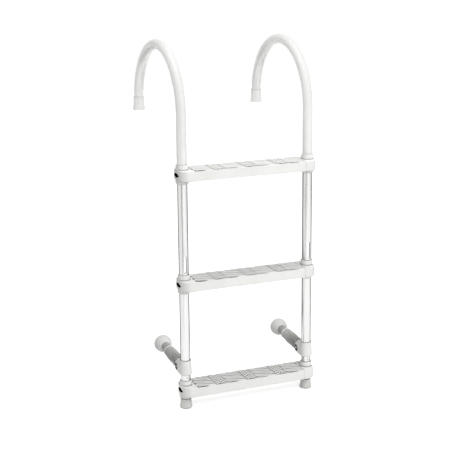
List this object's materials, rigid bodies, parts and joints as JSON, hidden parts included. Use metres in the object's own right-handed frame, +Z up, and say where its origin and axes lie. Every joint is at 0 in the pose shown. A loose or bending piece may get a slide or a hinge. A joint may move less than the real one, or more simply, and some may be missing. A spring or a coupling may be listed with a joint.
{
  "type": "gunwale hook boarding ladder",
  "caption": "White boarding ladder: tube rails with moulded treads, hooks that hang over a gunwale and hinged standoffs with round pads.",
  "frame": {"origin": "midway between the two hooks, at the inside of their crowns where they hang on the gunwale", "axes": "+X along the treads to the climber's right, +Y from the climber towards the hull, +Z up"},
  "size_m": [0.389, 0.3721, 0.9265],
  "materials": {
    "rail_aluminium": "bright anodised tube",
    "hook_aluminium": "bright anodised tube",
    "sleeve_plastic": "white plastic sleeve, soft gloss",
    "tip_plastic": "white moulded plastic",
    "foot_plastic": "white moulded plastic",
    "pad_plastic": "soft off-white plastic",
    "washer_rubber": "black washer",
    "bolt_cap": "white capped bolt",
    "standoff_plastic": "white moulded plastic",
    "tread_plastic": "white moulded plastic, fine grain"
  },
  "bodies": {
    "frame": {"foot_left": "foot_plastic", "foot_right": "foot_plastic", "hook_arm_left": "hook_aluminium", "hook_arm_right": "hook_aluminium", "hook_sleeve_left": "sleeve_plastic", "hook_sleeve_right": "sleeve_plastic", "hook_tip_left": "tip_plastic", "hook_tip_right": "tip_plastic", "pivot_bolt_left": "bolt_cap", "pivot_bolt_right": "bolt_cap", "pivot_washer_left_left": "washer_rubber", "pivot_washer_left_right": "washer_rubber", "pivot_washer_right_left": "washer_rubber", "pivot_washer_right_right": "washer_rubber", "rail_left": "rail_aluminium", "rail_right": "rail_aluminium", "standoff_bracket_left": "standoff_plastic", "standoff_bracket_right": "standoff_plastic", "tread_bottom": "tread_plastic", "tread_end_bottom_left": "tread_plastic", "tread_end_bottom_right": "tread_plastic", "tread_end_middle_left": "tread_plastic", "tread_end_middle_right": "tread_plastic", "tread_end_top_left": "tread_plastic", "tread_end_top_right": "tread_plastic", "tread_middle": "tread_plastic", "tread_top": "tread_plastic"},
    "standoff_left": {"standoff_arm_left": "standoff_plastic", "standoff_pad_left": "pad_plastic"},
    "standoff_right": {"standoff_arm_right": "standoff_plastic", "standoff_pad_right": "pad_plastic"}
  },
  "joints": [
    {"name": "standoff_fold_left", "type": "hinge", "parent": "frame", "child": "standoff_left", "pos_m": [-0.171, -0.1325, -0.797], "axis": [1, 0, 0], "range_deg": [-50, 76]},
    {"name": "standoff_fold_right", "type": "hinge", "parent": "frame", "child": "standoff_right", "pos_m": [0.171, -0.1325, -0.797], "axis": [1, 0, 0], "range_deg": [-50, 76]}
  ]
}
